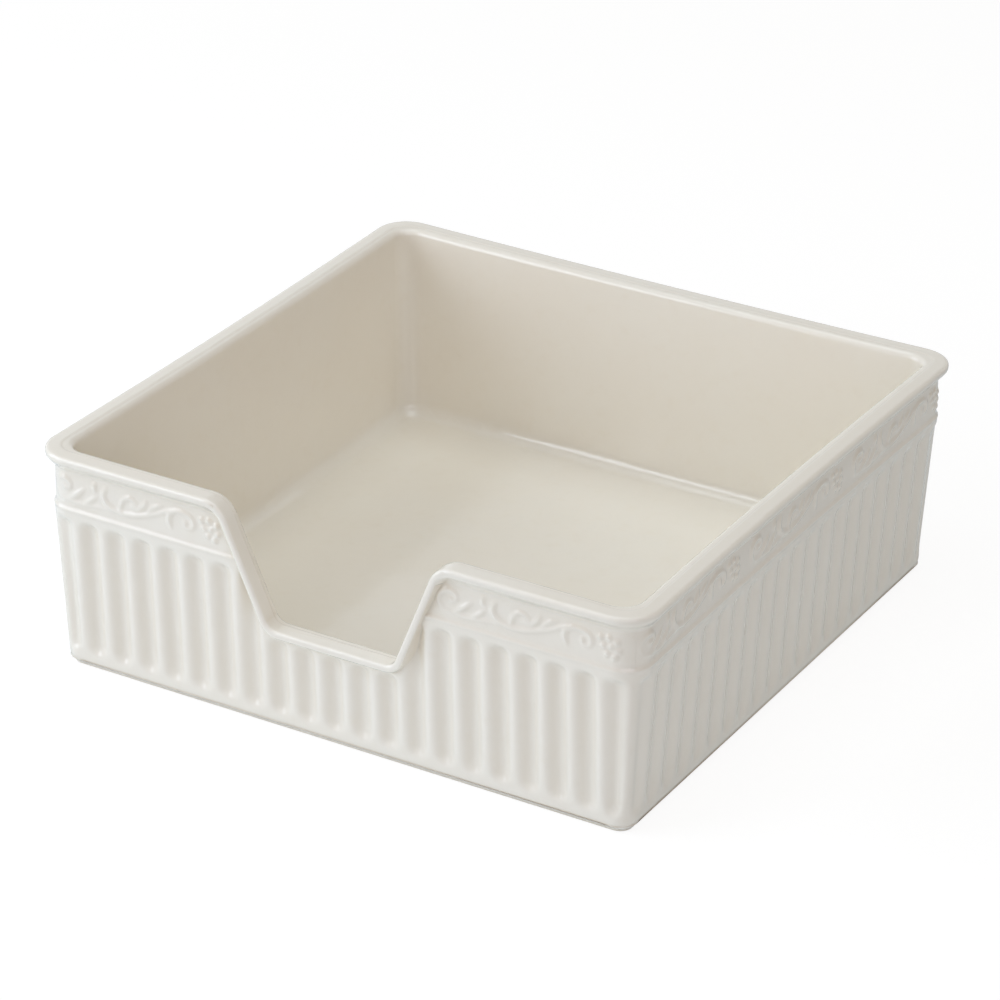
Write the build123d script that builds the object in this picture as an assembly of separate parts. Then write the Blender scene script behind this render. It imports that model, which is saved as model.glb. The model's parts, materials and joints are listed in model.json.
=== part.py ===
from build123d import *

import math
import os

# Napkin tray of glazed stoneware: a square tray with fluted walls, a frieze under a
# rolled rim, and a finger notch in the front wall that the same roll runs round.
# Lengths are in millimetres and angles in degrees. Z is up, the notch faces -Y, and the
# origin lies on the table under the middle of the tray.

# Overall size
rim_width = 190.5
height = 67.0

# Rolled rim: a square band that leans as the wall does, with a slope where it turns under
roll_size = 4.8
roll_edge_round = 1.0
roll_under_slope = 2.9
roll_inner_round = 0.6
rim_corner_radius = 10.5
rim_thickness = 6.85
crest_rise = 0.15
inner_edge_round = 1.8

# Fluted wall, set in from the rim at its upper edge and leaning in from there to the table
wall_setback = 2.25
wall_lean = 3.05
wall_drop = 17.0
wall_corner_radius = 5.0
wall_edge_height = 0.8
wall_edge_bevel = 1.0

# Frieze between the fluted wall and the rim, with a thin raised line along each edge
frieze_setback = 2.65
line_width = 1.2
line_rise = 0.4
line_bevel = 0.35
upper_line_drop = 6.4

# Flutes
flutes_per_side = 21
flute_margin = 3.45
ridge_width = 2.05
flute_depth = 1.5
flute_bottom_height = 4.2
flute_top_gap = 2.9
flute_end_length = 2.4
flute_notch_gap = 1.1
cutter_sides = 18

# Well for the napkins
well_floor_inset = 5.65
well_corner_radius = 6.0
well_floor_round = 4.5
floor_thickness = 6.0

# Finger notch, its bottom width taken where the slopes would meet the bottom
notch_bottom_width = 38.8
notch_depth = 35.2
notch_flare_angle = 21.8
notch_top_round = 8.0
notch_bottom_round = 3.5

# Foot ring
foot_inset = 1.4
foot_ring_width = 5.0
foot_recess_depth = 1.5
foot_recess_corner_radius = 2.5

# Sides of the square, and a turn from one to the next in degrees
side_count = 4
quarter_turn = 90

# How far a cutting shape runs past the face that it opens
overrun = 2.0

# How near an edge has to be to a shape to count as lying on it
touch_gap = 0.005
middle_share = 0.5

# Sizes that follow from the ones above
frieze_width = rim_width - 2 * frieze_setback
frieze_corner_radius = rim_corner_radius - frieze_setback
upper_line_height = height - upper_line_drop
wall_top_height = height - wall_drop
wall_top_width = rim_width - 2 * wall_setback
wall_foot_width = wall_top_width - 2 * wall_lean
wall_draft = math.atan2(wall_lean, wall_top_height)
roll_spread = math.cos(wall_draft) + math.sin(wall_draft)
roll_reach_out = (roll_size / 2 - roll_edge_round) * roll_spread + roll_edge_round
roll_reach_up = (roll_size / 2 - roll_inner_round) * roll_spread + roll_inner_round
roll_axis_half = rim_width / 2 - roll_reach_out
roll_axis_height = height - max(roll_reach_up, roll_reach_out)
roll_axis_corner = rim_corner_radius - roll_reach_out
flute_pitch = (wall_foot_width - 2 * flute_margin) / (flutes_per_side - 1)
flute_width = flute_pitch - ridge_width
flute_top_height = wall_top_height - flute_top_gap
well_floor_height = foot_recess_depth + floor_thickness
well_floor_width = wall_foot_width - 2 * well_floor_inset
well_rim_width = rim_width - 2 * rim_thickness
foot_width = wall_foot_width - 2 * foot_inset
foot_corner_radius = wall_corner_radius - foot_inset
notch_bottom_height = height - notch_depth
notch_flare = math.radians(notch_flare_angle)
leaning_dip = notch_depth / math.cos(wall_draft)


def rounded_square(width, corner_radius, level):
    """Square with rounded corners, lying at a level above the table."""
    return Pos(0, 0, level) * RectangleRounded(width, width, corner_radius)


def slab(width, corner_radius, bottom, top):
    """Upright block on a rounded square."""
    return extrude(rounded_square(width, corner_radius, bottom), top - bottom)


def wall_width(level):
    """Width across the fluted walls at a level above the table."""
    return wall_foot_width + 2 * level * math.tan(wall_draft)


def fluted_wall():
    """Block of the fluted wall before the flutes are cut, narrower towards the table."""
    lower = rounded_square(wall_width(wall_edge_height), wall_corner_radius, wall_edge_height)
    block = extrude(lower, wall_top_height - wall_edge_height, taper=-math.degrees(wall_draft))
    lower_edges = block.edges().group_by(Axis.Z)[0]
    return chamfer(lower_edges, wall_edge_bevel)


def raised_line(level):
    """Thin raised line round the frieze, its middle at a level above the table."""
    rise_corner = frieze_corner_radius + line_rise
    band = slab(frieze_width + 2 * line_rise, rise_corner, level - line_width / 2, level + line_width / 2)
    edges = band.edges().group_by(Axis.Z)
    return chamfer(edges[0] + edges[-1], line_bevel)


def flute_bar(bar_radius, lower_end, upper_end):
    """Cutter of one flute: a bar of many sides, bent outwards at both ends till it leaves the wall."""
    path = Polyline(
        (0, lower_end - flute_end_length, 2 * flute_depth),
        (0, lower_end + flute_end_length, 0),
        (0, upper_end - flute_end_length, 0),
        (0, upper_end + flute_end_length, 2 * flute_depth),
    )
    across = (1, 0, 0)
    section = Plane(origin=path @ 0, x_dir=across, z_dir=path % 0) * RegularPolygon(bar_radius, cutter_sides)
    return sweep(section, path=path, transition=Transition.RIGHT)


def flute_top(across, has_notch):
    """Height of a flute's top, which is lower where the notch is over it."""
    if has_notch and abs(across) < notch_bottom_width / 2:
        return notch_bottom_height - roll_size - flute_notch_gap
    return flute_top_height


def flute_row(has_notch):
    """Cutters of the flutes in one wall, placed for the front."""
    bar_radius = (flute_width**2 / 4 + flute_depth**2) / (2 * flute_depth)
    outward = (0, -math.cos(wall_draft), -math.sin(wall_draft))
    wall_plane = Plane(origin=(0, -wall_foot_width / 2, 0), x_dir=(1, 0, 0), z_dir=outward)
    cutters = []
    for number in range(flutes_per_side):
        across = (number - (flutes_per_side - 1) / 2) * flute_pitch
        lower_end = flute_bottom_height / math.cos(wall_draft)
        upper_end = flute_top(across, has_notch) / math.cos(wall_draft)
        bar = flute_bar(bar_radius, lower_end, upper_end)
        cutters.append(wall_plane.location * Pos(across, 0, bar_radius - flute_depth) * bar)
    return cutters


def flutes():
    """Cutters of the flutes in all four walls."""
    cutters = flute_row(has_notch=True)
    plain_row = flute_row(has_notch=False)
    for side in range(1, side_count):
        cutters += [Rot(0, 0, quarter_turn * side) * cutter for cutter in plain_row]
    return cutters


def napkin_well():
    """Space for the napkins, wider towards the rim and rounded where it meets the floor."""
    flare = (well_rim_width - well_floor_width) / (height - well_floor_height)
    top_width = well_rim_width + flare * overrun
    lower = rounded_square(well_floor_width, well_corner_radius, well_floor_height)
    upper = rounded_square(top_width, well_corner_radius, height + overrun)
    space = loft([lower, upper], ruled=True)
    floor_edges = space.edges().group_by(Axis.Z)[0]
    return fillet(floor_edges, well_floor_round)


def notch_half_widths(depth):
    """Half widths of the notch at its top and bottom, measured on a line that runs at a
    depth under the crest of the rim."""
    bottom_half = notch_bottom_width / 2 + depth / math.cos(notch_flare) - depth * math.tan(notch_flare)
    top_half = bottom_half + notch_depth * math.tan(notch_flare)
    return top_half, bottom_half


def notch_rounds(depth):
    """Radii of the four corners of the notch on the same line, from left to right."""
    top_round = notch_top_round - depth
    bottom_round = notch_bottom_round + depth
    return [top_round, bottom_round, bottom_round, top_round]


def rim_line(depth, half_length, dip):
    """Line across the front at a depth under the crest of the rim, level on both sides of
    the notch and lower by a dip in the notch."""
    top_half, bottom_half = notch_half_widths(depth)
    return FilletPolyline(
        (-half_length, 0),
        (-top_half, 0),
        (-bottom_half, -dip),
        (bottom_half, -dip),
        (top_half, 0),
        (half_length, 0),
        radius=notch_rounds(depth),
    )


def space_over(line):
    """Face of all that lies over a line across the front, up to clear of the rim."""
    clear = Vector(0, roll_size / 2 + overrun)
    roof = Polyline(line @ 1, line @ 1 + clear, line @ 0 + clear, line @ 0)
    return make_face(line + roof)


def front_plane():
    """Plane through the middle of the roll along the front, leaning as the wall does."""
    outward = (0, -math.cos(wall_draft), -math.sin(wall_draft))
    return Plane(origin=(0, -roll_axis_half, roll_axis_height), x_dir=(1, 0, 0), z_dir=outward)


def front_opening():
    """Space over the front half of the rim, down into the notch."""
    line = rim_line(crest_rise, rim_width, notch_depth)
    upright = Plane(origin=(0, 0, height - crest_rise), x_dir=(1, 0, 0), z_dir=(0, -1, 0))
    return extrude(upright.location * space_over(line), rim_width)


def front_relief():
    """Outer part of the front wall that the roll takes the place of."""
    line = rim_line(roll_size / 2, rim_width, leaning_dip)
    return extrude(front_plane().location * space_over(line), roll_size)


def rear_opening():
    """Space over the rear half of the rim."""
    corner_low = (Align.CENTER, Align.MIN, Align.MIN)
    return Pos(0, 0, height - crest_rise) * Box(2 * rim_width, rim_width, 2 * overrun, align=corner_low)


def rim_path():
    """Middle line of the roll: level round three sides, down and up in the notch."""
    front_end = (notch_bottom_width + roll_axis_half) / 2
    front = front_plane().location * rim_line(roll_size / 2, front_end, leaning_dip)
    sides = FilletPolyline(
        (front_end, -roll_axis_half),
        (roll_axis_half, -roll_axis_half),
        (roll_axis_half, roll_axis_half),
        (-roll_axis_half, roll_axis_half),
        (-roll_axis_half, -roll_axis_half),
        (-front_end, -roll_axis_half),
        radius=roll_axis_corner,
    )
    level_sides = Pos(0, 0, roll_axis_height) * sides
    return Wire(front.edges() + level_sides.edges())


def roll_section():
    """Section of the roll, its outer side towards +X and its upper side towards +Y."""
    half = roll_size / 2
    section = Polygon(
        (-half, -half),
        (half - roll_under_slope, -half),
        (half, roll_under_slope - half),
        (half, half),
        (-half, half),
        align=None,
    )
    rounds = {
        (half, half): roll_edge_round,
        (half, roll_under_slope - half): roll_edge_round,
        (-half, half): roll_inner_round,
    }
    for place, radius in rounds.items():
        corner = section.vertices().sort_by_distance((*place, 0))[0]
        section = fillet(corner, radius)
    return section


def rim_roll():
    """Roll along the rim and round the notch."""
    path = rim_path()
    front = front_plane()
    section_plane = Plane(origin=path @ 0, x_dir=front.z_dir, z_dir=front.z_dir.cross(front.y_dir))
    return sweep(section_plane.location * roll_section(), path=path)


def foot_recess():
    """Shallow space under the floor that leaves the foot ring standing."""
    return slab(foot_width - 2 * foot_ring_width, foot_recess_corner_radius, -overrun, foot_recess_depth)


def lies_on(edge, *shapes):
    """Whether the middle of an edge lies on every one of the shapes."""
    return all(shape.distance_to(edge @ middle_share) < touch_gap for shape in shapes)


def tray_body():
    """The whole tray, one piece of stoneware."""
    body = fluted_wall()
    body += slab(frieze_width, frieze_corner_radius, wall_top_height - line_width / 2, roll_axis_height)
    body += raised_line(wall_top_height)
    body += raised_line(upper_line_height)
    body += slab(2 * roll_axis_half, roll_axis_corner, roll_axis_height, height + overrun)
    body += slab(foot_width, foot_corner_radius, 0, well_floor_height)
    body -= flutes()
    well = napkin_well()
    openings = front_opening() + rear_opening()
    body -= well
    body -= openings
    body -= front_relief()
    body -= foot_recess()
    inner_edges = [edge for edge in body.edges() if lies_on(edge, well, openings)]
    body = fillet(inner_edges, inner_edge_round)
    return body + rim_roll()


if __name__ == "__main__":
    os.makedirs("parts", exist_ok=True)
    export_step(tray_body(), "parts/tray.step")
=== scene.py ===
import json
import logging
import math
from contextlib import contextmanager
from dataclasses import dataclass, field
from enum import Enum
from typing import Any, Iterator, Optional, Union

import bpy
import numpy as np
from mathutils import Matrix, Vector

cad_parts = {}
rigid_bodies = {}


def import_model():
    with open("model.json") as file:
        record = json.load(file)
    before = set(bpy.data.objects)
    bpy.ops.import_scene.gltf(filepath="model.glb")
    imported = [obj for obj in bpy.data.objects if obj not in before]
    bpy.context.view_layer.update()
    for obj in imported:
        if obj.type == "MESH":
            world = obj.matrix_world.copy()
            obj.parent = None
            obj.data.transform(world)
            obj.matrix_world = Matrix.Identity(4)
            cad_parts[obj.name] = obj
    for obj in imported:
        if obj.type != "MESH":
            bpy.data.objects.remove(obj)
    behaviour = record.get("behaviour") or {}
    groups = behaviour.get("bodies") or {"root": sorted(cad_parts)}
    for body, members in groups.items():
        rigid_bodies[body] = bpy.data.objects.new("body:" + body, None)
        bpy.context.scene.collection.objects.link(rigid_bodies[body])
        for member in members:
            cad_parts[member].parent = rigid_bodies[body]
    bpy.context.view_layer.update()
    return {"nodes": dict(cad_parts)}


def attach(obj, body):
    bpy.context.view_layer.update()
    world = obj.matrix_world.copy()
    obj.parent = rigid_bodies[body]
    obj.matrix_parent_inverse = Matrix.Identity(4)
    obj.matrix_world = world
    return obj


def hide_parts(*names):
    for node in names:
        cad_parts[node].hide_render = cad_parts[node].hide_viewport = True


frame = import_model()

log = logging.getLogger("napkin_tray")

MM = 0.001
MERGE_DISTANCE = 0.002 * MM
NOTCH_FLARE = math.radians(21.8)
Triple = tuple[float, float, float]
Colour = tuple[float, float, float, float]
Pairs = tuple[tuple[float, float], ...]
Value = Union[float, "Sock"]
WHITE: Colour = (1.0, 1.0, 1.0, 1.0)


def rgba(colour: Triple) -> Colour:
    """Colour with full cover."""
    return (*colour, 1.0)


class Side(Enum):
    """Side of the square tray, with its turn about the upright axis in degrees."""

    FRONT = 0
    RIGHT = 90
    BACK = 180
    LEFT = 270

    @property
    def turn(self) -> Matrix:
        """Turn that takes a piece made for the front to this side."""
        return Matrix.Rotation(math.radians(self.value), 4, "Z")


class Maths(Enum):
    """Operations that shader values are joined with."""

    ADD = "ADD"
    SUBTRACT = "SUBTRACT"
    MULTIPLY = "MULTIPLY"
    MAXIMUM = "MAXIMUM"
    ABSOLUTE = "ABSOLUTE"


class Mixture(Enum):
    """What a Mix node mixes, with the numbers of its first input and of its output."""

    VECTORS = ("VECTOR", 4, 1)
    COLOURS = ("RGBA", 6, 2)


class Sock:
    """Output of a shader node that takes part in sums."""

    def __init__(self, bench: "NodeBench", socket: bpy.types.NodeSocket) -> None:
        """Wraps a socket.

        Args:
            bench: node tree that the socket belongs to.
            socket: output socket of a node there.
        """
        self.bench = bench
        self.socket = socket

    def __add__(self, other: Value) -> "Sock":
        """Sum of two values."""
        return self.bench.maths(Maths.ADD, self, other)

    def __radd__(self, other: Value) -> "Sock":
        """Sum of two values."""
        return self.bench.maths(Maths.ADD, other, self)

    def __sub__(self, other: Value) -> "Sock":
        """Difference of two values."""
        return self.bench.maths(Maths.SUBTRACT, self, other)

    def __rsub__(self, other: Value) -> "Sock":
        """Difference of two values."""
        return self.bench.maths(Maths.SUBTRACT, other, self)

    def __mul__(self, other: Value) -> "Sock":
        """Product of two values."""
        return self.bench.maths(Maths.MULTIPLY, self, other)

    def __rmul__(self, other: Value) -> "Sock":
        """Product of two values."""
        return self.bench.maths(Maths.MULTIPLY, other, self)


class NodeBench:
    """Node tree of a material or of the world, emptied and ready to be filled."""

    def __init__(self, owner: Any) -> None:
        """Empties the node tree of its owner.

        Args:
            owner: material or world that the nodes belong to.
        """
        owner.use_nodes = True
        self.tree = owner.node_tree
        self.tree.nodes.clear()

    def node(
        self,
        kind: str,
        settings: Optional[dict[str, Any]] = None,
        sockets: Optional[dict[Any, Any]] = None,
    ) -> bpy.types.Node:
        """Adds one node.

        Args:
            kind: type of the node.
            settings: properties of the node, which are set first.
            sockets: values or links of its inputs, by name or number.

        Returns:
            The new node.
        """
        made = self.tree.nodes.new(kind)
        for name, value in (settings or {}).items():
            setattr(made, name, value)
        for name, value in (sockets or {}).items():
            if isinstance(value, Sock):
                self.tree.links.new(value.socket, made.inputs[name])
            else:
                made.inputs[name].default_value = value
        return made

    def sock(
        self,
        kind: str,
        output: Union[str, int],
        settings: Optional[dict[str, Any]] = None,
        sockets: Optional[dict[Any, Any]] = None,
    ) -> Sock:
        """Adds one node and gives one of its outputs.

        Args:
            kind: type of the node.
            output: name or number of the output.
            settings: properties of the node.
            sockets: values or links of its inputs.

        Returns:
            The output, ready for sums.
        """
        return Sock(self, self.node(kind, settings, sockets).outputs[output])

    def maths(self, operation: Maths, first: Value, second: Value) -> Sock:
        """Joins two values with a Math node.

        Args:
            operation: what the node does.
            first: first value.
            second: second value.

        Returns:
            The result.
        """
        return self.sock("ShaderNodeMath", 0, {"operation": operation.value}, {0: first, 1: second})

    def mix(self, kind: Mixture, share: Value, first: Any, second: Any) -> Sock:
        """Mixes two colours or two vectors.

        Args:
            kind: what is mixed.
            share: how much of the second one shows, from 0 to 1.
            first: colour or vector, or an output, at share 0.
            second: colour or vector, or an output, at share 1.

        Returns:
            The mixture.
        """
        data_type, number, output = kind.value
        sockets = {0: share, number: first, number + 1: second}
        return self.sock("ShaderNodeMix", output, {"data_type": data_type}, sockets)

    def blend(self, share: Value, first: Any, second: Any) -> Sock:
        """Mixes two colours."""
        return self.mix(Mixture.COLOURS, share, first, second)

    def step(self, value: Value, low: float, high: float) -> Sock:
        """Soft step of a value.

        Args:
            value: value to be judged.
            low: value at which the step starts.
            high: value at which the step is over.

        Returns:
            0 under low, 1 over high, and a smooth change between them.
        """
        return self.sock(
            "ShaderNodeMapRange",
            0,
            {"interpolation_type": "SMOOTHSTEP"},
            {"Value": value, "From Min": low, "From Max": high, "To Min": 0.0, "To Max": 1.0},
        )


@dataclass(frozen=True)
class GlazeFinish:
    """Glossy cream-white glaze over pale stoneware, left bare on the foot, darker in the outer
    hollows from gathered glaze and painted shade.
    """

    body_colour: Triple = (0.915, 0.868, 0.772)
    pooled_colour: Triple = (0.89, 0.835, 0.725)
    thin_colour: Triple = (0.92, 0.88, 0.79)
    # Colour of the outer hollows: partly gathered glaze, partly painted shade.
    hollow_glaze_and_shade_colour: Triple = (0.8, 0.725, 0.6)
    clay_colour: Triple = (0.66, 0.58, 0.47)
    roughness: float = 0.13
    roughness_change: float = 0.06
    clay_roughness: float = 0.75
    ior: float = 1.5
    coat: float = 0.35
    coat_roughness: float = 0.06
    cloud_scale: float = 26.0
    cloud_detail: float = 3.0
    cloud_range: tuple[float, float] = (0.4, 0.7)
    mottle_scale: float = 240.0
    mottle_detail: float = 2.0
    mottle_range: tuple[float, float] = (0.5, 0.8)
    pooled_share: float = 0.35
    ripple_scale: float = 55.0
    fine_ripple_scale: float = 420.0
    fine_ripple_share: float = 0.08
    ripple_height: float = 0.6 * MM
    ripple_strength: float = 0.35
    edge_softness: float = 0.5 * MM
    edge_samples: int = 8
    rim_softness: float = 1.4 * MM
    rim_samples: int = 16
    rim_height: tuple[float, float] = (61.5 * MM, 63.0 * MM)
    rim_reach: tuple[float, float] = (83.0 * MM, 85.0 * MM)
    bare_range: tuple[float, float] = (0.02 * MM, 0.12 * MM)
    hollow_reach: float = 6.0 * MM
    hollow_samples: int = 8
    hollow_range: tuple[float, float] = (0.72, 0.98)
    outer_reach: tuple[float, float] = (87.4 * MM, 88.2 * MM)
    name: str = "cream_white_glaze"

    def make(self) -> bpy.types.Material:
        """Builds the material.

        Returns:
            The finished material.
        """
        material = bpy.data.materials.new(self.name)
        bench = NodeBench(material)
        place = bench.sock("ShaderNodeTexCoord", "Object")
        height = bench.sock("ShaderNodeSeparateXYZ", "Z", sockets={0: place})
        soft_normal = self._soft_normal(bench, place)
        clouds = self._noise(bench, place, self.cloud_scale, self.cloud_detail)
        mottle = self._noise(bench, place, self.mottle_scale, self.mottle_detail)
        bare = 1.0 - bench.step(height, *self.bare_range)
        thin = bench.step(clouds, *self.cloud_range)
        pooled = bench.step(mottle, *self.mottle_range) * self.pooled_share
        glazed = bench.blend(thin, rgba(self.body_colour), rgba(self.thin_colour))
        glazed = bench.blend(pooled, glazed, rgba(self.pooled_colour))
        # Darkens the outer hollows: partly gathered glaze, partly painted shade taken from ambient
        # occlusion.
        glazed = bench.blend(self._glaze_and_shade_in_hollows(bench, place), glazed, rgba(self.hollow_glaze_and_shade_colour))
        colour = bench.blend(bare, glazed, rgba(self.clay_colour))
        uneven = self.roughness + self.roughness_change * (mottle - 0.5)
        roughness = uneven + bare * (self.clay_roughness - self.roughness)
        shader = bench.sock(
            "ShaderNodeBsdfPrincipled",
            "BSDF",
            sockets={
                "Base Color": colour,
                "Roughness": roughness,
                "Normal": self._ripple(bench, place, soft_normal),
                "IOR": self.ior,
                "Coat Weight": (1.0 - bare) * self.coat,
                "Coat Roughness": self.coat_roughness,
                "Coat IOR": self.ior,
            },
        )
        bench.node("ShaderNodeOutputMaterial", sockets={"Surface": shader})
        return material

    def _soft_normal(self, bench: NodeBench, place: Sock) -> Sock:
        """Normal with edges that the glaze rounds off, most of all on the outside of the rim.

        Args:
            bench: node tree of the material.
            place: object coordinates.

        Returns:
            The softened normal.
        """
        height = bench.sock("ShaderNodeSeparateXYZ", "Z", sockets={0: place})
        outer = bench.step(self._reach(bench, place), *self.rim_reach)
        on_rim = bench.step(height, *self.rim_height) * outer
        fine, wide = (
            bench.sock("ShaderNodeBevel", "Normal", {"samples": samples}, {"Radius": radius})
            for samples, radius in (
                (self.edge_samples, self.edge_softness),
                (self.rim_samples, self.rim_softness),
            )
        )
        return bench.mix(Mixture.VECTORS, on_rim, fine, wide)

    def _glaze_and_shade_in_hollows(self, bench: NodeBench, place: Sock) -> Sock:
        """Where the glaze gathers and where shade is painted on the outside: 1 in deep hollows, 0
        on flat and raised places.

        Args:
            bench: node tree of the material.
            place: object coordinates.

        Returns:
            The share of gathered glaze.
        """
        # Ambient occlusion paints shade into the hollows, together with the gathered glaze.
        openness = bench.sock(
            "ShaderNodeAmbientOcclusion",
            "AO",
            {"samples": self.hollow_samples, "only_local": True},
            {"Distance": self.hollow_reach},
        )
        outside = bench.step(self._reach(bench, place), *self.outer_reach)
        return outside * (1.0 - bench.step(openness, *self.hollow_range))

    def _reach(self, bench: NodeBench, place: Sock) -> Sock:
        """Distance from the tray's middle, the larger of that along X and that along Y.

        Args:
            bench: node tree of the material.
            place: object coordinates.

        Returns:
            The distance.
        """
        split = bench.node("ShaderNodeSeparateXYZ", sockets={0: place})
        along = [Sock(bench, split.outputs[axis]) for axis in ("X", "Y")]
        return bench.maths(
            Maths.MAXIMUM, *(bench.maths(Maths.ABSOLUTE, value, 0.0) for value in along)
        )

    def _noise(self, bench: NodeBench, place: Sock, scale: float, detail: float) -> Sock:
        """Cloudy noise on the object's own coordinates.

        Args:
            bench: node tree of the material.
            place: object coordinates.
            scale: repeats in a metre.
            detail: octaves.

        Returns:
            The noise, about 0 to 1.
        """
        sockets = {"Vector": place, "Scale": scale, "Detail": detail, "Roughness": 0.5}
        return bench.sock("ShaderNodeTexNoise", 0, sockets=sockets)

    def _ripple(self, bench: NodeBench, place: Sock, normal: Sock) -> Sock:
        """Slight unevenness of a hand-poured glaze.

        Args:
            bench: node tree of the material.
            place: object coordinates.
            normal: normal with the softened edges.

        Returns:
            The normal with the unevenness added.
        """
        wide = self._noise(bench, place, self.ripple_scale, 1.0)
        fine = self._noise(bench, place, self.fine_ripple_scale, 1.0)
        return bench.sock(
            "ShaderNodeBump",
            "Normal",
            sockets={
                "Strength": self.ripple_strength,
                "Distance": self.ripple_height,
                "Height": wide + fine * self.fine_ripple_share,
                "Normal": normal,
            },
        )


def deselect() -> None:
    """Leaves object mode with nothing selected."""
    if bpy.context.mode != "OBJECT":
        bpy.ops.object.mode_set(mode="OBJECT")
    bpy.ops.object.select_all(action="DESELECT")


def pick(*objects: bpy.types.Object) -> None:
    """Selects objects and makes the first of them active.

    Args:
        objects: objects to be selected.
    """
    deselect()
    for thing in objects:
        thing.select_set(True)
    bpy.context.view_layer.objects.active = objects[0]


@contextmanager
def editing(thing: bpy.types.Object) -> Iterator[None]:
    """Opens a mesh for editing, with all of it selected, and closes it afterwards.

    Args:
        thing: mesh object.

    Yields:
        Nothing; the mesh is open meanwhile.
    """
    pick(thing)
    bpy.ops.object.mode_set(mode="EDIT")
    bpy.ops.mesh.select_all(action="SELECT")
    yield
    bpy.ops.object.mode_set(mode="OBJECT")


def join(target: bpy.types.Object, others: list[bpy.types.Object]) -> bpy.types.Object:
    """Joins objects into one.

    Args:
        target: object that stays.
        others: objects that go into it.

    Returns:
        The joined object.
    """
    if others:
        pick(target, *others)
        bpy.ops.object.join()
    return target


def settle(thing: bpy.types.Object) -> None:
    """Applies an object's place, turn and scale to its mesh.

    Args:
        thing: object to be settled.
    """
    pick(thing)
    bpy.ops.object.transform_apply(location=True, rotation=True, scale=True)


def points_of(thing: bpy.types.Object) -> np.ndarray:
    """Reads the points of a mesh.

    Args:
        thing: mesh object.

    Returns:
        One row of x, y and z in millimetres for each point.
    """
    flat = np.empty(len(thing.data.vertices) * 3)
    thing.data.vertices.foreach_get("co", flat)
    return flat.reshape(-1, 3) / MM


def set_points(thing: bpy.types.Object, points: np.ndarray) -> None:
    """Writes the points of a mesh.

    Args:
        thing: mesh object.
        points: one row of x, y and z in millimetres for each point.
    """
    thing.data.vertices.foreach_set("co", (points * MM).ravel())
    thing.data.update()


def push_points(thing: bpy.types.Object, chosen: np.ndarray, inwards: float) -> None:
    """Pushes some points of a flat strip towards the middle of the tray.

    Args:
        thing: strip, upright in the plane of the x axis.
        chosen: true for each point that moves.
        inwards: how far the points go, in mm, below 0 for outwards.
    """
    with editing(thing):
        bpy.ops.mesh.select_mode(type="VERT")
        bpy.ops.mesh.select_all(action="DESELECT")
        bpy.ops.object.mode_set(mode="OBJECT")
        thing.data.vertices.foreach_set("select", chosen)
        bpy.ops.object.mode_set(mode="EDIT")
        bpy.ops.transform.translate(value=(0.0, inwards * MM, 0.0))


def apply_modifier(thing: bpy.types.Object, kind: str, settings: dict[str, Any]) -> None:
    """Adds a modifier to a mesh and applies it.

    Args:
        thing: mesh object.
        kind: type of the modifier.
        settings: its properties.
    """
    pick(thing)
    modifier = thing.modifiers.new(kind.lower(), kind)
    for name, value in settings.items():
        setattr(modifier, name, value)
    bpy.ops.object.modifier_apply(modifier=modifier.name)


def own_copy(thing: bpy.types.Object) -> bpy.types.Object:
    """Copies an object together with its mesh.

    Args:
        thing: object to be copied.

    Returns:
        The copy, with its own mesh.
    """
    copy = thing.copy()
    copy.data = thing.data.copy()
    bpy.context.collection.objects.link(copy)
    return copy


def turned_copy(thing: bpy.types.Object, side: Side) -> bpy.types.Object:
    """Copies a piece made for the front to another side.

    Args:
        thing: piece at the front.
        side: side that the copy goes to.

    Returns:
        The copy, settled in its place.
    """
    copy = own_copy(thing)
    copy.matrix_world = side.turn
    settle(copy)
    return copy


def flat_strip(
    name: str, across: np.ndarray, heights: np.ndarray
) -> tuple[bpy.types.Object, np.ndarray]:
    """Makes a flat strip of small faces that look to the front.

    Args:
        name: name of the strip.
        across: places of its columns along a wall, in mm.
        heights: heights of its rows, in mm.

    Returns:
        The strip, upright in the plane of the x axis, and its points in mm.
    """
    deselect()
    columns, rows = len(across) - 1, len(heights) - 1
    bpy.ops.mesh.primitive_grid_add(x_subdivisions=columns, y_subdivisions=rows, size=MM)
    strip = bpy.context.active_object
    strip.name = name
    unit = points_of(strip) + 0.5
    column = np.rint(unit[:, 0] * columns).astype(int)
    row = np.rint(unit[:, 1] * rows).astype(int)
    points = np.stack([across[column], np.zeros(len(unit)), heights[row]], axis=1)
    set_points(strip, points)
    if strip.data.polygons[0].normal.y > 0.0:
        strip.data.flip_normals()
    bpy.ops.object.shade_smooth()
    return strip, points


def clear_notch(thing: bpy.types.Object, hand: float, edge: float, height: float) -> None:
    """Clears a piece of the front away inside the border of the notch.

    Args:
        thing: piece on one side of the notch.
        hand: 1 to the right of the notch, -1 to the left.
        edge: half width that is cleared, in mm.
        height: height at which it is as wide as that, in mm.
    """
    with editing(thing):
        bpy.ops.mesh.bisect(
            plane_co=(hand * edge * MM, 0.0, height * MM),
            plane_no=(hand * math.cos(NOTCH_FLARE), 0.0, -math.sin(NOTCH_FLARE)),
            clear_inner=True,
        )


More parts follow.
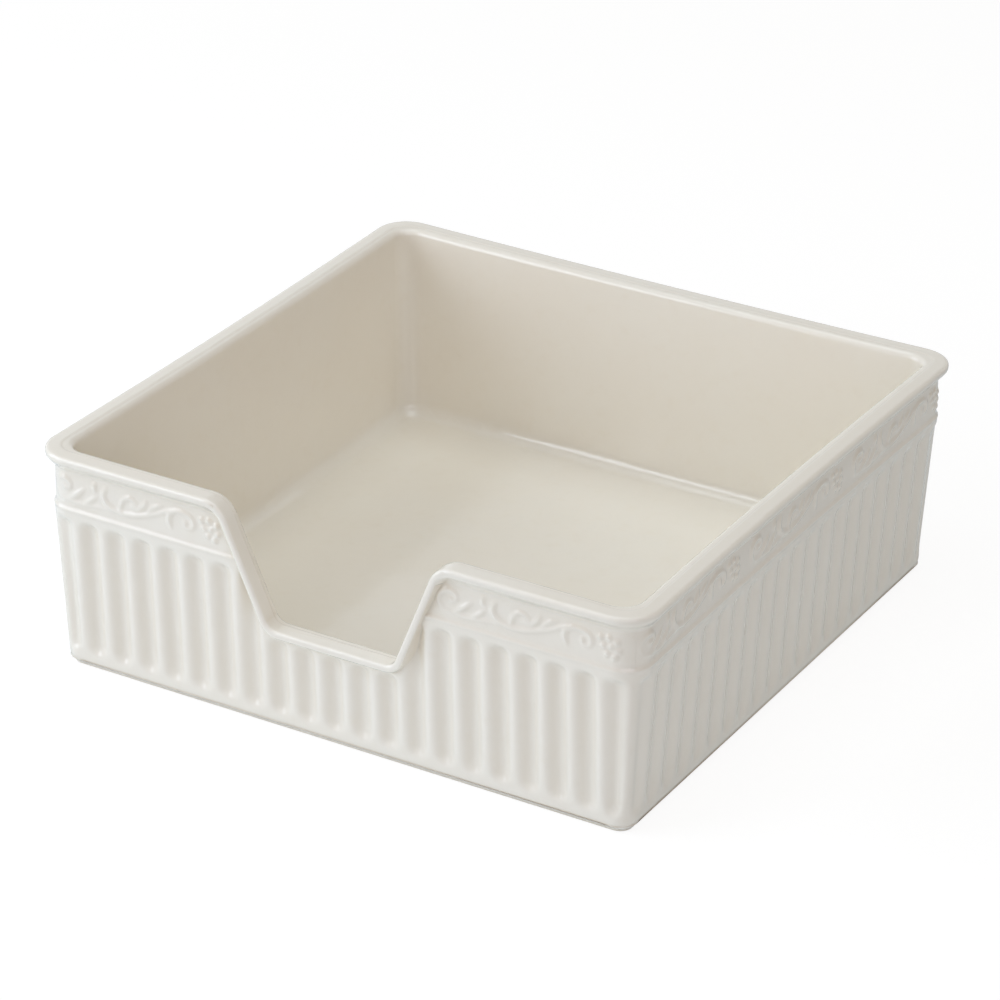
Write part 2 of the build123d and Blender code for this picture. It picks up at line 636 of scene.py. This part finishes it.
@dataclass(frozen=True)
class WallShape:
    """Outline that walls follow, square with rounded corners and wider upwards, in mm."""

    foot_half: float = 89.95
    lean: float = 3.05
    lean_height: float = 50.0
    corner_radius: float = 5.0

    @property
    def flat_half(self) -> float:
        """Half length of the straight part of a side, the same at each height."""
        return self.foot_half - self.corner_radius

    def half_at(self, height: np.ndarray) -> np.ndarray:
        """Half width across the walls.

        Args:
            height: heights over the table.

        Returns:
            Half width at each height.
        """
        return self.foot_half + height * self.lean / self.lean_height

    def end_at(self, height: np.ndarray) -> np.ndarray:
        """Half length of a side up to the middle of its corner, measured on its surface.

        Args:
            height: heights over the table.

        Returns:
            Half length at each height.
        """
        return self.flat_half + (self.half_at(height) - self.flat_half) * math.pi / 4

    def bend(self, across: np.ndarray, out: np.ndarray, height: np.ndarray) -> np.ndarray:
        """Lays flat points on the front wall and round its corners.

        Args:
            across: places along the wall, measured on its surface.
            out: distances out from the surface.
            height: heights over the table.

        Returns:
            Points on the front wall.
        """
        radius = self.half_at(height) - self.flat_half
        angle = np.maximum(np.abs(across) - self.flat_half, 0.0) / radius
        round_corner = self.flat_half + (radius + out) * np.sin(angle)
        level = np.where(angle > 0.0, round_corner, np.abs(across))
        forward = self.flat_half + (radius + out) * np.cos(angle)
        return np.stack([np.sign(across) * level, -forward, height], axis=1)


@dataclass
class TrayBody:
    """Body of the tray: rolled rim, notch, well, foot and the core of the walls, in mm."""

    wall: WallShape = WallShape()
    node: str = "tray"
    smooth_angle: float = 26.0
    core_depth: float = 1.5
    flute_reach: float = 2.3
    core_bottom: float = 1.9
    core_top: float = 62.6
    line_rise: float = 0.45
    cut_places: tuple[float, ...] = tuple(19.0 * number for number in range(-4, 5))

    def build(self) -> bpy.types.Object:
        """Copies the tray's solid, merges its corners, smooths it and sets its outer walls back.

        Returns:
            The body as an object of its own.
        """
        body = own_copy(frame["nodes"][self.node])
        body.name = "glazed_tray"
        with editing(body):
            bpy.ops.mesh.remove_doubles(threshold=MERGE_DISTANCE)
            bpy.ops.mesh.customdata_custom_splitnormals_clear()
            for place in self.cut_places:
                for across in (Vector((1.0, 0.0, 0.0)), Vector((0.0, 1.0, 0.0))):
                    bpy.ops.mesh.select_all(action="SELECT")
                    bpy.ops.mesh.bisect(plane_co=across * place * MM, plane_no=across)
        self._set_back(body)
        bpy.ops.object.shade_smooth_by_angle(angle=math.radians(self.smooth_angle))
        apply_modifier(body, "WEIGHTED_NORMAL", {"keep_sharp": True})
        return body

    def _set_back(self, body: bpy.types.Object) -> None:
        """Sets the fluted walls and the frieze back to make room for their soft skin.

        Args:
            body: merged copy of the tray.
        """
        points = points_of(body)
        height = points[:, 2]
        within = (height > self.core_bottom) & (height < self.core_top)
        surface = self.wall.half_at(np.minimum(height, self.wall.lean_height))
        moves = np.zeros_like(points)
        for axis in (0, 1):
            sunk = np.abs(points[:, axis]) - surface
            on_wall = within & (sunk > -self.flute_reach) & (sunk < self.line_rise)
            moves[on_wall, axis] = -self.core_depth * np.sign(points[on_wall, axis])
        set_points(body, points + moves)


@dataclass
class FlutedWall:
    """Soft skin of the fluted walls: one flute is repeated along each wall, in mm.

    Three flutes are modelled: a full and a short one for the front, and a shallow one for the
    other walls.
    """

    wall: WallShape = WallShape()
    flutes: int = 21
    short_flutes: int = 5
    pitch: float = 8.65
    flute_half: float = 4.0
    depth: float = 1.75
    side_depth: float = 1.05
    fullness: float = 2.2
    end_length: float = 3.2
    foot_length: float = 4.2
    bottom: float = 4.0
    top: float = 48.2
    short_top: float = 29.4
    lower_tucks: tuple[float, ...] = (1.3, 0.3)
    columns: tuple[float, ...] = (-4.325, -3.5, -2.5, -1.3, 0.0, 1.3, 2.5, 3.5, 4.325)
    lower_rows: tuple[float, ...] = (-3.3, -2.5, -1.0, -0.2, 0.6, 1.6, 3.0, 6.0)
    upper_rows: tuple[float, ...] = (-7.0, -3.4, -2.3, -1.3, -0.4, 0.4, 1.4)
    short_upper_rows: tuple[float, ...] = (-7.0, -3.4, -2.3, -1.3, -0.4, 0.4, 1.6)
    seam: float = 0.01
    notch_half: float = 19.4
    notch_bottom: float = 31.8
    notch_cover: float = 1.0

    def build(self) -> list[bpy.types.Object]:
        """Models the walls.

        Returns:
            The skin of each wall, in place.
        """
        full = self._flute(self.top, self.upper_rows, self.depth)
        short = self._flute(self.short_top, self.short_upper_rows, self.depth)
        shallow = self._flute(self.top, self.upper_rows, self.side_depth)
        plain = self._row(shallow, 0, self.flutes)
        side_flutes = (self.flutes - self.short_flutes) // 2
        left = self._row(full, 0, side_flutes)
        middle = self._row(short, side_flutes, self.short_flutes)
        right = self._row(full, side_flutes + self.short_flutes, side_flutes)
        edge = self.notch_half + self.notch_cover / math.cos(NOTCH_FLARE)
        clear_notch(left, -1.0, edge, self.notch_bottom)
        clear_notch(right, 1.0, edge, self.notch_bottom)
        walls = [join(left, [middle, right])]
        walls += [turned_copy(plain, side) for side in Side if side is not Side.FRONT]
        for spare in (full, short, shallow, plain):
            bpy.data.objects.remove(spare)
        return walls

    def _flute(
        self, top: float, upper_rows: tuple[float, ...], depth: float
    ) -> bpy.types.Object:
        """Models one flute, flat, in the middle of its strip of wall.

        Args:
            top: height of the flute's upper end.
            upper_rows: rows of the cage near that end, measured from it.
            depth: depth of the flute's hollow.

        Returns:
            The strip as a soft mesh.
        """
        middle_row = (self.bottom + self.lower_rows[-1] + top + upper_rows[0]) / 2
        lower = [self.bottom + row for row in self.lower_rows]
        rows = np.array([*lower, middle_row, *(top + row for row in upper_rows)])
        strip, points = flat_strip("flute", np.array(self.columns), rows)
        across, height = points[:, 0], points[:, 2]
        tucked = [height == row for row in lower[: len(self.lower_tucks)]]
        tucks = np.select(tucked, self.lower_tucks)
        past_top = np.maximum(1.0 - (top - height) / self.end_length, 0.0)
        past_foot = np.maximum(1.0 - (height - self.bottom) / self.foot_length, 0.0)
        spread = (across / self.flute_half) ** 2 + past_top**2 + past_foot**2
        self._press(strip, depth * np.maximum(1.0 - spread, 0.0) ** self.fullness + tucks)
        soften = {"levels": 1, "render_levels": 1, "boundary_smooth": "PRESERVE_CORNERS"}
        apply_modifier(strip, "SUBSURF", soften)
        return strip

    def _press(self, strip: bpy.types.Object, depths: np.ndarray) -> None:
        """Presses points of the strip inwards, level by level.

        Args:
            strip: flat strip of wall.
            depths: how far each point goes.
        """
        sunk = np.round(depths, 3)
        for level in np.unique(sunk[sunk > 0.0]):
            push_points(strip, sunk == level, float(level))

    def _row(self, strip: bpy.types.Object, first: int, count: int) -> bpy.types.Object:
        """Repeats a flute along a wall and lays the row on the wall.

        Args:
            strip: one flute.
            first: number of the first flute, from the left.
            count: how many there are.

        Returns:
            The row on the front wall.
        """
        row = own_copy(strip)
        settings = {
            "count": count,
            "use_relative_offset": False,
            "use_constant_offset": True,
            "constant_offset_displace": (self.pitch * MM, 0.0, 0.0),
            "use_merge_vertices": True,
            "merge_threshold": self.seam * MM,
        }
        apply_modifier(row, "ARRAY", settings)
        flat = points_of(row)
        across = flat[:, 0] + (first - (self.flutes - 1) / 2) * self.pitch
        fitted = self._corner_fit(across, flat[:, 2])
        set_points(row, self.wall.bend(fitted, -flat[:, 1], flat[:, 2]))
        return row

    def _corner_fit(self, across: np.ndarray, height: np.ndarray) -> np.ndarray:
        """Narrows or widens the last flute of a row so that it ends at the corner.

        Args:
            across: places along the wall.
            height: heights over the table.

        Returns:
            The fitted places.
        """
        last_end = self.flutes / 2 * self.pitch
        last_start = last_end - self.pitch
        corner = self.wall.end_at(height)
        beyond = np.maximum(np.abs(across) - last_start, 0.0) / self.pitch
        stretched = last_start + beyond * (corner - last_start)
        return np.sign(across) * np.where(beyond > 0.0, stretched, np.abs(across))


@dataclass
class FriezeBand:
    """Upright band between the fluted walls and the rim, on which strips are laid, in mm."""

    shape: WallShape = WallShape(foot_half=92.6, lean=0.0, corner_radius=7.85)
    notch_half: float = 28.9
    notch_height: float = 49.0

    @property
    def end(self) -> float:
        """Half length of a strip, up to the middle of a corner."""
        return float(self.shape.end_at(np.zeros(1))[0])

    def lay_round(self, strip: bpy.types.Object) -> list[bpy.types.Object]:
        """Lays a flat strip round the tray, with a gap at the notch.

        Args:
            strip: flat strip for one side.

        Returns:
            The parts of the strip, in place.
        """
        front = own_copy(strip)
        self._lay(strip)
        parts = [turned_copy(strip, side) for side in Side if side is not Side.FRONT]
        bpy.data.objects.remove(strip)
        return parts + self._open_notch(front)

    def _lay(self, strip: bpy.types.Object) -> None:
        """Lays a flat strip on the front of the band and round its corners.

        Args:
            strip: flat strip.
        """
        flat = points_of(strip)
        set_points(strip, self.shape.bend(flat[:, 0], -flat[:, 1], flat[:, 2]))

    def _open_notch(self, strip: bpy.types.Object) -> list[bpy.types.Object]:
        """Cuts the front strip in two inside the border of the notch.

        Args:
            strip: flat strip of the front.

        Returns:
            The left and the right part, in place.
        """
        parts = []
        for hand, part in ((-1.0, strip), (1.0, own_copy(strip))):
            clear_notch(part, hand, self.notch_half, self.notch_height)
            self._lay(part)
            parts.append(part)
        return parts


@dataclass
class Mouldings:
    """Soft raised line over the flutes and the hollow under the rim, in mm."""

    band: FriezeBand = field(default_factory=FriezeBand)
    corner_columns: int = 12
    side_columns: int = 19
    lower_line: Pairs = (
        (48.9, 0.15),
        (49.25, 0.34),
        (49.5, 0.42),
        (49.75, 0.5),
        (50.0, 0.55),
        (50.25, 0.5),
        (50.5, 0.34),
        (50.8, 0.16),
        (51.1, 0.05),
        (51.5, 0.02),
    )
    rim_hollow: Pairs = (
        (61.3, 0.02),
        (61.6, 0.06),
        (62.0, 0.22),
        (62.5, 0.58),
        (63.0, 1.0),
        (63.5, 1.42),
        (64.0, 1.86),
        (64.5, 2.24),
        (64.9, 2.48),
        (65.3, 2.6),
        (65.7, 2.62),
    )

    def build(self) -> list[bpy.types.Object]:
        """Models the mouldings round the tray.

        Returns:
            The parts of both mouldings, in place.
        """
        lower = self._moulding("lower_line", self.lower_line)
        return lower + self._moulding("rim_hollow", self.rim_hollow)

    def _moulding(self, name: str, profile: Pairs) -> list[bpy.types.Object]:
        """Models one moulding.

        Args:
            name: name of the moulding.
            profile: heights, with the distance out from the band at each.

        Returns:
            Its parts, in place.
        """
        flat_half = self.band.shape.flat_half
        corner = np.linspace(flat_half, self.band.end, self.corner_columns)
        side = np.linspace(-flat_half, flat_half, self.side_columns)
        across = np.concatenate([-corner[:0:-1], side, corner[1:]])
        heights, outs = (np.array(values) for values in zip(*profile))
        strip, points = flat_strip(name, across, heights)
        for height, out in zip(heights, outs):
            push_points(strip, points[:, 2] == height, -float(out))
        return self.band.lay_round(strip)


@dataclass(frozen=True)
class Stroke:
    """One stem, leaf or curl of the vine, in mm.

    Each point has its place along the side, its height over the table and its half width.
    """

    name: str
    points: tuple[Triple, ...]


@dataclass
class VineFrieze:
    """Ground of the frieze with a running vine in low relief, three repeats on a side, in mm."""

    band: FriezeBand = field(default_factory=FriezeBand)
    repeat: float = 61.3
    first_stem: float = -72.0
    repeats: int = 3
    lower_edge: float = 51.4
    upper_edge: float = 61.5
    ground_size: float = 1000.0
    grain: float = 0.42
    skin: float = 0.02
    flatness: float = 0.7
    stroke_order: int = 3
    stroke_steps: int = 5
    tube_steps: int = 2
    berry_radius: float = 1.0
    berry_steps: int = 3
    drape_start: float = 4.0
    softening: float = 0.5
    softenings: int = 5
    plain_end: float = 5.0
    strokes: tuple[Stroke, ...] = (
        Stroke(
            "swooping_stem",
            (
                (0.6, 60.3, 0.35),
                (-0.6, 59.2, 0.75),
                (-0.9, 57.0, 0.95),
                (0.6, 54.9, 0.95),
                (3.8, 53.8, 0.9),
                (8.0, 53.9, 0.85),
                (12.0, 54.9, 0.8),
                (16.0, 56.3, 0.75),
                (19.2, 58.0, 0.7),
                (21.5, 59.3, 0.6),
            ),
        ),
        Stroke(
            "end_curl",
            (
                (21.6, 53.6, 0.4),
                (20.7, 55.0, 0.85),
                (20.6, 57.2, 0.9),
                (22.0, 59.2, 0.8),
                (25.2, 59.7, 0.75),
                (28.2, 58.6, 0.75),
                (29.0, 56.3, 0.7),
                (27.4, 54.7, 0.6),
                (25.6, 55.3, 0.5),
                (25.9, 56.9, 0.75),
            ),
        ),
        Stroke(
            "inner_curl",
            (
                (4.6, 54.4, 0.5),
                (4.9, 56.4, 0.75),
                (6.2, 58.7, 0.75),
                (8.6, 59.2, 0.65),
                (10.2, 57.6, 0.55),
                (9.2, 56.2, 0.5),
                (8.2, 57.1, 0.75),
            ),
        ),
        Stroke(
            "inner_leaf",
            ((9.3, 55.6, 0.3), (11.6, 57.0, 0.9), (13.2, 58.8, 0.8), (13.4, 60.2, 0.25)),
        ),
        Stroke(
            "upper_leaf",
            ((13.6, 56.4, 0.3), (15.2, 58.0, 0.8), (17.0, 59.2, 0.75), (18.8, 59.9, 0.25)),
        ),
        Stroke(
            "stem_tip",
            ((-3.4, 57.6, 0.3), (-3.9, 58.9, 0.85), (-3.7, 60.0, 0.8), (-3.1, 60.9, 0.3)),
        ),
        Stroke(
            "start_curl",
            (
                (-15.6, 53.7, 0.4),
                (-17.2, 55.2, 0.8),
                (-17.3, 57.6, 0.9),
                (-15.4, 59.7, 0.85),
                (-12.6, 59.7, 0.75),
                (-11.3, 57.9, 0.65),
                (-12.6, 56.4, 0.6),
                (-14.1, 57.2, 0.8),
            ),
        ),
        Stroke(
            "long_leaf",
            ((-12.9, 53.4, 0.3), (-10.8, 54.6, 0.95), (-8.6, 56.5, 0.95), (-6.6, 58.3, 0.3)),
        ),
        Stroke(
            "short_leaf",
            ((-8.0, 53.3, 0.3), (-6.0, 54.1, 0.85), (-4.2, 55.6, 0.8), (-2.6, 57.0, 0.3)),
        ),
        Stroke(
            "joining_stem",
            (
                (-17.5, 53.9, 0.35),
                (-13.0, 53.3, 0.6),
                (-7.5, 52.9, 0.6),
                (-1.5, 53.7, 0.6),
                (2.6, 53.9, 0.4),
            ),
        ),
    )
    berries: Pairs = (
        (31.2, 58.9),
        (33.6, 59.2),
        (36.0, 58.2),
        (32.0, 56.6),
        (34.4, 56.9),
        (36.4, 55.8),
        (33.2, 54.5),
        (35.4, 53.9),
    )

    def build(self) -> list[bpy.types.Object]:
        """Models the frieze of each side.

        Returns:
            The parts of the frieze, in place.
        """
        pattern = self._repeat()
        row = self._row(pattern)
        panel = self._panel(row)
        for spare in (pattern, row):
            bpy.data.objects.remove(spare)
        return self.band.lay_round(panel)

    def _row(self, pattern: bpy.types.Object) -> bpy.types.Object:
        """Repeats the vine along a side, with the plain ground behind it.

        Args:
            pattern: one repeat.

        Returns:
            The vine of one side, flat, on its ground.
        """
        deselect()
        upright = (math.pi / 2, 0.0, 0.0)
        bpy.ops.mesh.primitive_plane_add(size=self.ground_size * MM, rotation=upright)
        ground = bpy.context.active_object
        settle(ground)
        copies = []
        for number in range(self.repeats):
            copy = own_copy(pattern)
            copy.location.x = (self.first_stem + number * self.repeat) * MM
            settle(copy)
            copies.append(copy)
        return join(ground, copies)

    def _panel(self, row: bpy.types.Object) -> bpy.types.Object:
        """Lays a fine net over the vine, as glaze lies over it.

        Args:
            row: vine of one side on its ground.

        Returns:
            The flat panel with its soft relief.
        """
        across, heights = (
            np.linspace(low, high, round((high - low) / self.grain) + 1)
            for low, high in ((-self.band.end, self.band.end), (self.lower_edge, self.upper_edge))
        )
        panel, points = flat_strip("frieze", across, heights)
        set_points(panel, points - np.array([0.0, self.drape_start, 0.0]))
        drape = {
            "target": row,
            "wrap_method": "PROJECT",
            "use_project_y": True,
            "use_positive_direction": True,
            "use_negative_direction": False,
        }
        apply_modifier(panel, "SHRINKWRAP", drape)
        soften = {
            "factor": self.softening,
            "iterations": self.softenings,
            "use_x": False,
            "use_z": False,
        }
        apply_modifier(panel, "SMOOTH", soften)
        points = points_of(panel)
        relief = np.clip((self.band.end - np.abs(points[:, 0])) / self.plain_end, 0.0, 1.0)
        points[:, 1] = points[:, 1] * relief - self.skin
        set_points(panel, points)
        return panel

    def _repeat(self) -> bpy.types.Object:
        """Models one repeat of the vine, lying at the front, round its swooping stem.

        Returns:
            The repeat as one mesh.
        """
        pieces = [self._stroke(stroke) for stroke in self.strokes]
        pieces += [self._berry(along, up) for along, up in self.berries]
        return join(pieces[0], pieces[1:])

    def _stroke(self, stroke: Stroke) -> bpy.types.Object:
        """Models one stem, leaf or curl.

        Args:
            stroke: its points and half widths.

        Returns:
            A flattened tube that swells and tapers along its line.
        """
        deselect()
        bpy.ops.curve.primitive_nurbs_path_add()
        curve = bpy.context.active_object
        curve.name = stroke.name
        curve.data.splines.clear()
        spline = curve.data.splines.new("NURBS")
        spline.points.add(len(stroke.points) - 1)
        for point, (along, up, half_width) in zip(spline.points, stroke.points):
            point.co = (along * MM, 0.0, up * MM, 1.0)
            point.radius = half_width
        spline.order_u = self.stroke_order
        spline.use_endpoint_u = True
        spline.resolution_u = self.stroke_steps
        curve.data.dimensions = "3D"
        curve.data.bevel_depth = MM
        curve.data.bevel_resolution = self.tube_steps
        curve.data.use_fill_caps = True
        bpy.ops.object.convert(target="MESH")
        self._flatten(curve)
        return curve

    def _berry(self, along: float, up: float) -> bpy.types.Object:
        """Models one berry.

        Args:
            along: place along the side, in mm.
            up: height over the table, in mm.

        Returns:
            A flattened ball.
        """
        deselect()
        bpy.ops.mesh.primitive_ico_sphere_add(
            subdivisions=self.berry_steps,
            radius=self.berry_radius * MM,
            location=(along * MM, 0.0, up * MM),
        )
        berry = bpy.context.active_object
        settle(berry)
        self._flatten(berry)
        return berry

    def _flatten(self, piece: bpy.types.Object) -> None:
        """Presses a piece towards the plane of the frieze and smooths it.

        Args:
            piece: piece to be flattened.
        """
        with editing(piece):
            bpy.ops.mesh.remove_doubles(threshold=MERGE_DISTANCE)
            bpy.ops.mesh.normals_make_consistent(inside=False)
            bpy.ops.transform.resize(
                value=(1.0, self.flatness, 1.0), center_override=(0.0, 0.0, 0.0)
            )
        bpy.ops.object.shade_smooth()


@dataclass(frozen=True)
class FiringWarp:
    """Slight inward bow of the left, right and back walls, as a kiln leaves it, in mm."""

    bow: float = 1.2
    half: float = 93.0
    height: float = 67.0

    def apply(self, tray: bpy.types.Object) -> None:
        """Bows the walls, most at the middle of the rim and not at all at the corners and foot.

        Args:
            tray: finished tray.
        """
        points = points_of(tray)
        along_x, along_y = points[:, 0] / self.half, points[:, 1] / self.half
        pull = self.bow * points[:, 2] / self.height
        moves = np.zeros_like(points)
        moves[:, 0] = -pull * along_x * np.maximum(1.0 - along_y**2, 0.0)
        moves[:, 1] = -pull * np.maximum(along_y, 0.0) * np.maximum(1.0 - along_x**2, 0.0)
        set_points(tray, points + moves)


@dataclass(frozen=True)
class Lamp:
    """Square soft box that faces the tray; place, width and aim are in metres, power in watts."""

    name: str
    place: Triple
    width: float
    power: float
    colour: Triple
    aim: Triple = (0.0, 0.0, 0.03)

    def hang(self) -> None:
        """Hangs the soft box."""
        light = bpy.data.lights.new(self.name, "AREA")
        light.shape = "SQUARE"
        light.size = self.width
        light.energy = self.power
        light.color = self.colour
        thing = bpy.data.objects.new(self.name, light)
        bpy.context.collection.objects.link(thing)
        thing.location = self.place
        towards = Vector(self.aim) - Vector(self.place)
        thing.rotation_euler = towards.to_track_quat("-Z", "Y").to_euler()


@dataclass
class Studio:
    """Pale floor, soft light and the camera.

    Angles are in degrees. The camera's distance, target, lens and sensor are in mm, and the
    floor's size and the nearest distance that the camera sees are in metres.
    """

    azimuth: float = 29.93
    elevation: float = 27.06
    distance: float = 1230.88
    target: Triple = (-7.0, 8.94, 30.0)
    roll: float = 0.94
    lens: float = 155.0
    sensor: float = 36.0
    nearest: float = 0.01
    sky: float = 0.16
    sky_colour: Triple = (1.32, 1.0, 0.67)
    floor_size: float = 6.0
    floor_paint: float = 0.88
    floor_glow: float = 0.75
    floor_bounce: float = 0.15
    bounce_colour: Triple = (0.75, 1.0, 1.17)
    floor_white: float = 1.14
    lamps: tuple[Lamp, ...] = (
        Lamp("key_softbox", (-0.8, -0.61, 0.45), 0.92, 6.9, (0.9, 1.0, 1.15)),
        Lamp("top_softbox", (0.0, 0.1, 1.7), 1.5, 11.3, (0.88, 1.0, 1.08)),
        Lamp("front_fill", (1.08, -1.18, 0.56), 1.2, 5.4, (1.0, 1.0, 1.15)),
    )

    def build(self) -> None:
        """Sets up floor, light and camera."""
        self._floor()
        self._world()
        for lamp in self.lamps:
            lamp.hang()
        self._camera()
        bpy.context.scene.view_settings.view_transform = "Standard"

    def _floor(self) -> None:
        """Lays the floor, white to the camera but for the tray's soft shadow."""
        deselect()
        bpy.ops.mesh.primitive_plane_add(size=self.floor_size)
        floor = bpy.context.active_object
        floor.name = "studio_floor"
        material = bpy.data.materials.new("studio_white")
        bench = NodeBench(material)
        grey = rgba((self.floor_paint,) * 3)
        paint = bench.sock("ShaderNodeBsdfDiffuse", "BSDF", sockets={"Color": grey})
        seen = bench.sock("ShaderNodeLightPath", "Is Camera Ray")
        tint = bench.blend(seen, rgba(self.bounce_colour), WHITE)
        light = {"Color": tint, "Strength": self.floor_white}
        glow = bench.sock("ShaderNodeEmission", 0, sockets=light)
        share = seen * (self.floor_glow - self.floor_bounce) + self.floor_bounce
        mixed = bench.sock("ShaderNodeMixShader", 0, sockets={0: share, 1: paint, 2: glow})
        bench.node("ShaderNodeOutputMaterial", sockets={"Surface": mixed})
        floor.data.materials.append(material)

    def _world(self) -> None:
        """Fills the room with even light, white behind the tray."""
        world = bpy.data.worlds.new("studio_air")
        bpy.context.scene.world = world
        bench = NodeBench(world)
        path = bench.node("ShaderNodeLightPath")
        seen = (
            Sock(bench, path.outputs["Is Camera Ray"])
            + Sock(bench, path.outputs["Is Glossy Ray"])
            + Sock(bench, path.outputs["Is Transmission Ray"])
        )
        strength = seen * (1.0 - self.sky) + self.sky
        colour = bench.blend(seen, rgba(self.sky_colour), WHITE)
        light = {"Color": colour, "Strength": strength}
        sky = bench.sock("ShaderNodeBackground", 0, sockets=light)
        bench.node("ShaderNodeOutputWorld", sockets={"Surface": sky})

    def _camera(self) -> None:
        """Sets the camera at the photograph's viewing angle."""
        azimuth, elevation = math.radians(self.azimuth), math.radians(self.elevation)
        back = Vector(
            (
                math.sin(azimuth) * math.cos(elevation),
                -math.cos(azimuth) * math.cos(elevation),
                math.sin(elevation),
            )
        )
        right = (-back).cross(Vector((0.0, 0.0, 1.0))).normalized()
        up = right.cross(-back)
        turn = math.radians(self.roll)
        cosine, sine = math.cos(turn), math.sin(turn)
        right, up = right * cosine + up * sine, up * cosine - right * sine
        place = (Vector(self.target) + back * self.distance) * MM
        camera = bpy.data.cameras.new("studio_camera")
        camera.lens = self.lens
        camera.sensor_width = self.sensor
        camera.clip_start = self.nearest
        thing = bpy.data.objects.new("studio_camera", camera)
        bpy.context.collection.objects.link(thing)
        thing.matrix_world = Matrix(
            (
                (right.x, up.x, back.x, place.x),
                (right.y, up.y, back.y, place.y),
                (right.z, up.z, back.z, place.z),
                (0.0, 0.0, 0.0, 1.0),
            )
        )
        bpy.context.scene.camera = thing


def main() -> None:
    """Builds the tray and the studio round it."""
    logging.basicConfig(level=logging.INFO, format="%(name)s: %(message)s")
    tray = TrayBody().build()
    log.info("body: %d faces", len(tray.data.polygons))
    layers = {"fluted walls": FlutedWall(), "mouldings": Mouldings(), "frieze": VineFrieze()}
    skins = []
    for name, layer in layers.items():
        parts = layer.build()
        log.info("%s: %d parts", name, len(parts))
        skins.append(join(parts[0], parts[1:]))
    join(tray, skins)
    FiringWarp().apply(tray)
    tray.data.materials.clear()
    tray.data.materials.append(GlazeFinish().make())
    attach(tray, "root")
    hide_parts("tray")
    log.info("glazed tray: %d faces", len(tray.data.polygons))
    Studio().build()


if __name__ == "__main__":
    main()
